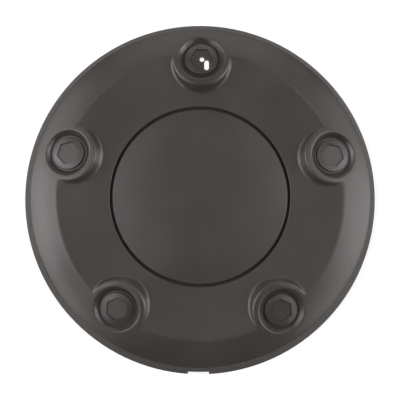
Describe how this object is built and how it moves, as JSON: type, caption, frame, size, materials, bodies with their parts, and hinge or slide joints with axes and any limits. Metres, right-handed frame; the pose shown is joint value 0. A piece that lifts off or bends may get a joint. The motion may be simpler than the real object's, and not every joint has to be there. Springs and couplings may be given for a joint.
{
  "type": "wheel centre cap",
  "caption": "Round moulded plastic wheel centre cap with a bare domed disc, dummy bolt bosses with hexagon recesses, a sloping rim and bolt-head sockets behind.",
  "frame": {"origin": "middle of the rim's foot, in the plane on which the cap lies", "axes": "+Z out of the face, +Y from the middle through the drilled bolt boss, the pry notch at -Y"},
  "size_m": [0.165, 0.1649, 0.0165],
  "materials": {
    "cap_plastic": "satin moulded plastic, dark warm grey, unpainted"
  },
  "bodies": {
    "root": {"centre_cap": "cap_plastic"}
  },
  "joints": []
}
